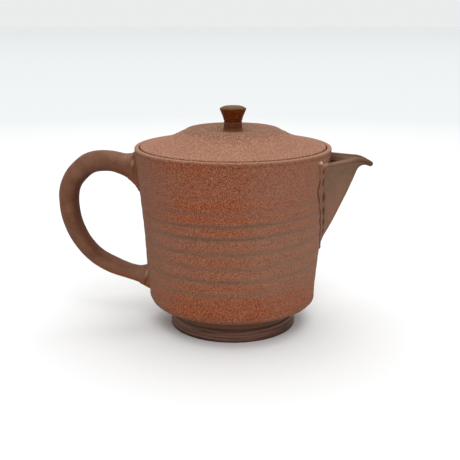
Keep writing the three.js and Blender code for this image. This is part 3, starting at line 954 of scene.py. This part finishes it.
def body_paint(tree, place):
    """Red clay, flashed orange by the flame at the front, greyer in the throwing grooves."""
    height, turns, _ = cylinder_place(tree, place)
    top = groove_heights[-1]
    count = float(len(groove_heights) - 1)
    facing = add(tree, "Math", {0: turns, 1: 0.5}, operation="ADD")
    climb = [(z / top, i / count) for i, z in enumerate(groove_heights[1:], 1)]
    rings = add(tree, "FloatCurve", {"Value": product(tree, height, 1 / top)}, curve=[(0, 0), *climb])
    phase = add(tree, "Math", {0: product(tree, rings, count), 1: turns}, operation="SUBTRACT")
    wander = add(tree, "Math", {0: blotches(tree, place, 40, 1.0), 1: 0.5}, operation="SUBTRACT")
    wavy = add(tree, "Math", {0: phase, 1: product(tree, wander, 0.3)}, operation="ADD")
    away = product(tree, add(tree, "Math", {0: wavy, 1: 0.5}, operation="PINGPONG"), 2.0)
    level = product(tree, phase, 1 / count)

    def by_groove(*pairs):
        return (level, *[(groove / count, value) for groove, value in pairs])

    # Base: browner on the handle's side, rosier grey on the spout's side
    base = add(tree, "ValToRGB", {0: facing}, stops=[
        (0.0, "#825d45"), (0.3, "#815e4a"), (0.38, "#855e4f"), (0.47, "#8a5f4d"), (0.56, "#966e5b"),
        (0.66, "#946b56"), (0.8, "#825d45"),
    ])
    base = wash(tree, base, "#8f6457", (blotches(tree, place, 16), (0.4, 0.0), (0.65, 0.55)))
    # Flashing: strongest left of the centre, on the ridges, at the foot and under the lip
    flash = add(tree, "ValToRGB", {0: facing}, stops=[
        (0.0, 0.3), (0.3, 0.2), (0.36, 0.4), (0.42, 0.95), (0.5, 1.0), (0.54, 0.55), (0.6, 0.42),
        (0.68, 0.3), (1.0, 0.3),
    ])
    low_flash = add(tree, "ValToRGB", {0: facing}, stops=[
        (0.0, 0.3), (0.33, 0.35), (0.42, 1.0), (0.53, 1.0), (0.6, 0.75), (0.7, 0.4), (1.0, 0.3),
    ])
    flash = wash(tree, flash, low_flash, by_groove((2.8, 1.0), (3.6, 0.0)))
    zones = by_groove(
        (0.6, 0.7), (1.2, 1.0), (2.75, 1.0), (3.0, 0.4), (3.5, 0.95), (4.0, 0.3), (4.5, 0.6), (5.0, 0.5),
        (5.5, 0.75), (6.0, 0.25), (6.5, 0.6), (7.0, 0.2), (7.55, 0.9), (8.0, 0.45), (8.5, 1.0), (9.0, 0.65),
        (9.4, 0.9), (10.0, 0.7), (10.8, 0.6), (11.5, 0.75), (12.1, 0.95),
    )
    mottle = (blotches(tree, place, (1.8, 10)), (0.34, 0.6), (0.56, 1.1))
    warm = product(tree, flash, zones, mottle)
    tone = wash(tree, base, "#9a481f", add(tree, "Math", {0: warm, 1: 1.0}, operation="MINIMUM"))
    # Grooves: a wide grey veil, and a dark core that is clear only at the front and the left
    veil = product(
        tree,
        (away, (0.0, 1.0), (0.3, 0.8), (0.62, 0.0)),
        by_groove(
            (1.0, 0.0), (2.0, 0.15), (3.0, 0.85), (4.0, 0.8), (5.0, 0.6), (6.0, 0.9), (7.0, 0.85),
            (8.0, 0.85), (9.0, 0.5), (9.6, 0.15), (10.0, 0.3), (10.4, 0.1),
        ),
        (blotches(tree, place, (7, 34)), (0.3, 0.35), (0.6, 0.95)),
        (facing, (0.3, 0.4), (0.42, 1.0), (0.66, 1.0), (0.8, 0.6)),
    )
    greys = [(0.36, "#7a5445"), (0.48, "#785547"), (0.58, "#836251")]
    tone = wash(tree, tone, add(tree, "ValToRGB", {0: facing}, stops=greys), veil)
    core = product(
        tree,
        (away, (0.0, 1.0), (0.14, 0.8), (0.34, 0.0)),
        by_groove(
            (2.5, 0.0), (3.0, 0.4), (3.5, 0.9), (4.0, 1.0), (5.0, 0.5), (6.0, 0.75), (7.0, 1.0),
            (8.0, 0.8), (8.6, 0.6), (9.0, 0.25), (9.5, 0.0),
        ),
        (
            facing, (0.3, 0.15), (0.38, 0.5), (0.43, 1.0), (0.51, 1.0), (0.57, 0.45), (0.66, 0.3),
            (0.8, 0.6),
        ),
        (blotches(tree, place, (4, 18)), (0.35, 0.35), (0.6, 1.0)),
    )
    tone = wash(tree, tone, "#57402f", core, 0.75)
    # Fine lines left by the fingers
    lines = blotches(tree, place, (0.5, 60))
    tone = wash(tree, tone, "#6a4939", (blotches(tree, place, (0.9, 30)), (0.5, 0.0), (0.7, 0.3)))
    # Paler low down and darker near the top, painted shade where the wall turns under to the
    # foot, a dark line under the lip and a pale band on its top
    tone = bands_of(tree, tone, height, rim_height, [
        ("#9d785d", (20.5, 0.0), (30.75, 0.2), (51.25, 0.2), (76.875, 0.0)),
        ("#704632", (82, 0.0), (92.25, 0.15)),
        ("#745543", (13.8, 0.85), (15.8, 0.4), (19, 0.0)),
        ("#5d3a2a", (99.4, 0.0), (100.6, 0.45), (101.4, 0.0)),
        ("#9f7963", (101.5, 0.0), (102.2, 0.85)),
    ])
    # Grains show most where the clay is flashed, and are rubbed away in the grooves
    grooved = add(tree, "Math", {0: veil, 1: core}, operation="MAXIMUM")
    rubbed = add(tree, "Math", {0: grooved, 1: -0.7, 2: 1.0}, operation="MULTIPLY_ADD")
    flashed = add(tree, "Math", {0: flash, 1: 0.45, 2: 0.6}, operation="MULTIPLY_ADD")
    return tone, lines, product(tree, flashed, rubbed)


def lid_paint(tree, place):
    """The same clay on the lid, dusted paler by ash, and browner round the crest."""
    _, turns, out = cylinder_place(tree, place)
    share = product(tree, out, 1 / lid_reach)
    tone = wash(tree, colour("#8a5f4b"), "#976a56", blotches(tree, place, 13))
    patches = (blotches(tree, place, 7), (0.3, 0.7), (0.6, 1.0))
    tone = wash(tree, tone, "#684937", (share, (0.12, 1.0), (0.44, 1.0), (0.64, 0.0)), patches)
    # Painted shade on the spout's side of the lid
    facing = add(tree, "Math", {0: turns, 1: 0.5}, operation="ADD")
    tone = wash(tree, tone, "#7c5845", (facing, (0.52, 0.0), (0.7, 0.3), (0.9, 0.0)))
    # Shadowed line at the very edge
    tone = wash(tree, tone, "#4a2c1e", (share, (0.977, 0.0), (0.984, 0.6)))
    circles = add(tree, "CombineXYZ", {0: product(tree, out, 1.6), 1: product(tree, turns, 3.0)})
    return tone, add(tree, "TexNoise", {"Vector": circles, "Scale": 1.0, "Detail": 2.0}), 1.0


def wiped_paint(dark, light, crease_shade, wear_and_highlight, size, flash):
    """Smooth clay, with the piece's own painted dark lines and painted shade, pale wear and
    painted highlights, and flashing.
    """
    def paint(tree, place):
        patches = (blotches(tree, place, size, 4.0), (0.34, 0.0), (0.66, 1.0))
        tone = wash(tree, colour(dark), light, patches)
        warmth = add(tree, "Attribute", {}, take="Fac", attribute_name="flash")
        tone = wash(tree, tone, flash, warmth, (blotches(tree, place, 5), (0.35, 0.4), (0.6, 1.0)))
        shade = add(tree, "Attribute", {}, take="Fac", attribute_name="shade")
        # Dark for painted shade and dark lines, pale for wear and painted highlights
        for over, sign in ((crease_shade, -1.0), (wear_and_highlight, 1.0)):
            part = add(tree, "Math", {0: shade, 1: sign}, operation="MULTIPLY", use_clamp=True)
            tone = wash(tree, tone, over, part)
        return tone, blotches(tree, place, 1.8), 1.0
    return paint


def foot_paint(tree, place):
    """Turned clay: horizontal lines on the band, painted light on the neck, painted shade in the
    line where the band meets the neck, and painted contact shade along the bottom edge."""
    height, _, _ = cylinder_place(tree, place)
    turned_lines = blotches(tree, place, (1.0, 30))
    tone = wash(tree, colour("#47291b"), "#7f594a", (turned_lines, (0.4, 0.0), (0.6, 1.0)))
    # Painted light on the neck, painted shade in the line above the band and painted contact shade at the
    # bottom
    tone = bands_of(tree, tone, height, 10.0, [
        ("#704c37", (6.6, 0.0), (7.4, 0.8)),
        ("#351d12", (5.8, 0.0), (6.7, 0.3), (7.6, 0.0)),
        ("#24130b", (0.6, 0.9), (1.3, 0.0)),
    ])
    return tone, turned_lines, 1.0


def knob_paint(tree, place):
    """Burnished clay: a mauve-brown neck, a red-brown cone with dark turned lines and painted
    orange glints, painted shade in the lines at the waist and at the top's edge, and a paler top."""
    height, _, _ = cylinder_place(tree, place)
    above = add(tree, "Math", {0: height, 1: knob_base}, operation="SUBTRACT")
    share = product(tree, above, 1 / (knob_top - knob_base))
    # The dark lines at the waist and at the top's edge are painted shade
    zones = add(tree, "ValToRGB", {0: share}, stops=[
        (0.0, "#754830"), (0.08, "#5c331d"), (0.34, "#6a3b29"), (0.37, "#2a0f03"), (0.41, "#602b05"),
        (0.86, "#703107"), (0.885, "#280e03"), (0.905, "#483019"), (0.93, "#634823"),
    ])
    lines = add(tree, "TexWave", {
        "Vector": place, "Scale": math.tau / 20 / (knob_line_step * MM), "Distortion": 0.8, "Detail": 2.0,
    }, take="Fac", bands_direction="Z", wave_profile="SIN")
    side = (share, (0.05, 0.5), (0.36, 1.0), (0.88, 1.0), (0.92, 0.0))
    broken = (blotches(tree, place, (1.2, 6)), (0.35, 0.2), (0.6, 0.9))
    tone = wash(tree, zones, "#260d05", (lines, (0.0, 1.0), (0.35, 0.0)), side, broken)
    # Painted orange glints on the cone
    painted_glints = (blotches(tree, place, (0.8, 2.5)), (0.5, 0.0), (0.68, 0.5))
    return wash(tree, tone, "#964a14", painted_glints, side), blotches(tree, place, (0.5, 20)), 0.4


thrown_clay = clay("thrown_red_stoneware", body_paint, (0.55, 0.6, "#ba7d60", "#54301f"), 0.86, 0.2)
lid_clay = clay("ash_dusted_stoneware", lid_paint, (0.6, 0.45, "#c99679", "#6a4030"), 0.86, 0.2)
spout_paint = wiped_paint("#71513c", "#83614a", "#3c1a0e", "#83746a", 9, "#94644a")
spout_clay = clay("slipped_stoneware", spout_paint, (0.1, 0.12, "#ab8066", "#4a2c1e"), 0.75, 0.25)
strip_paint = wiped_paint("#6f4f3b", "#7f5d46", "#401c0b", "#dcb8a4", 5, "#87573f")
strip_clay = clay("pressed_luting_clay", strip_paint, (0.15, 0.2, "#b08069", "#4a2c1e"), 0.8, 0.2)
handle_paint = wiped_paint("#67422f", "#7d533f", "#542a17", "#a17c62", 8, "#8b4a2b")
handle_clay = clay("wiped_stoneware", handle_paint, (0.08, 0.1, "#a0755c", "#46281b"), 0.75, 0.22)
foot_clay = clay("turned_dark_stoneware", foot_paint, (0.08, 0.14, "#8c6653", "#3f2216"), 0.62, 0.3)
knob_clay = clay("burnished_red_stoneware", knob_paint, (0.1, 0.2, "#8c5a40", "#220c05"), 0.5, 0.1)


# ---- pieces on their bodies ----

def place_on(piece, body, finish, node):
    piece.data.materials.clear()
    piece.data.materials.append(finish)
    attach(piece, body)
    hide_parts(node)


place_on(make_body(), "pot", thrown_clay, "body")
place_on(make_foot(), "pot", foot_clay, "foot_ring")
place_on(make_spout(), "pot", spout_clay, "spout")
place_on(make_strip(), "pot", strip_clay, "spout_seam")
place_on(make_handle(), "pot", handle_clay, "handle")
place_on(make_root("handle_root_upper", True), "pot", handle_clay, "handle_upper_joint")
place_on(make_root("handle_root_lower", False), "pot", handle_clay, "handle_lower_joint")
place_on(make_lid(), "lid", lid_clay, "lid")
place_on(make_flange(), "lid", lid_clay, "lid_flange")
place_on(make_knob(), "lid", knob_clay, "knob")
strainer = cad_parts["strainer"]
strainer.data.materials.clear()
strainer.data.materials.append(spout_clay)


# ---- table, light and camera ----

def seen_directly(tree):
    """1 for what the camera sees, itself or in a gloss, and 0 for the light that falls on."""
    ray = add(tree, "LightPath", {}, take=None)
    gloss, clear = ray["Is Glossy Ray"], ray["Is Transmission Ray"]
    in_gloss = add(tree, "Math", {0: gloss, 1: clear}, operation="MAXIMUM")
    return add(tree, "Math", {0: ray["Is Camera Ray"], 1: in_gloss}, operation="MAXIMUM")


def make_table():
    mesh = bpy.data.meshes.new("table")
    corners = [(x * table_half, y * table_half, 0) for x, y in ((-1, -1), (1, -1), (1, 1), (-1, 1))]
    mesh.from_pydata(corners, [], [(0, 1, 2, 3)])
    table = in_scene("table", mesh)
    paper = bpy.data.materials.new("white_paper")
    tree = bare_tree(paper)
    # White paper, matt and without grain at this distance, that turns a cool grey further back
    place = add(tree, "TexCoord", {}, take="Object")
    depth = add(tree, "VectorMath", {0: place}, take="Value", operation="LENGTH")
    white = wash(tree, colour(table_near), table_back, (depth, (0.5, 0.0), (0.95, 1.0)))
    to_edge = product(tree, depth, 1 / table_half)
    white = wash(tree, white, table_far, (to_edge, (0.12, 0.0), (0.7, 1.0)))
    tone = wash(tree, colour(table_lit), white, seen_directly(tree))
    surface = add(tree, "BsdfDiffuse", {"Color": tone})
    add(tree, "OutputMaterial", {"Surface": surface}, take=None)
    mesh.materials.append(paper)


def make_light():
    world = bpy.data.worlds.new("studio")
    bpy.context.scene.world = world
    tree = bare_tree(world)
    levels = {0: seen_directly(tree), 1: sky_seen - sky_lit, 2: sky_lit}
    strength = add(tree, "Math", levels, operation="MULTIPLY_ADD")
    sky = add(tree, "Background", {"Color": (0.985, 1, 1, 1), "Strength": strength})
    add(tree, "OutputWorld", {"Surface": sky}, take=None)
    # A wide softbox over the pot, a little behind it, and a smaller one in front
    for name, power, angle, towards in [
        ("softbox", 0.48, 70, (0, -0.2, -1)), ("front_light", 0.28, 30, (-0.12, 0.9, -1)),
    ]:
        lamp = bpy.data.lights.new(name, "SUN")
        lamp.energy = math.pi * power
        lamp.angle = math.radians(angle)
        box = in_scene(name, lamp)
        box.rotation_euler = Vector(towards).to_track_quat("-Z", "Y").to_euler()


def make_camera():
    lens = bpy.data.cameras.new("camera")
    lens.sensor_width = 36
    lens.lens = 64.107
    lens.clip_start = 0.01
    lens.clip_end = 50
    camera = in_scene("camera", lens)
    camera.location = (pot_axis - camera_aside * MM, -camera_back * MM, camera_height * MM)
    camera.rotation_euler = (math.pi / 2 - camera_tilt, 0, 0)
    bpy.context.scene.camera = camera


make_table()
make_light()
make_camera()
bpy.context.scene.view_settings.view_transform = "Standard"
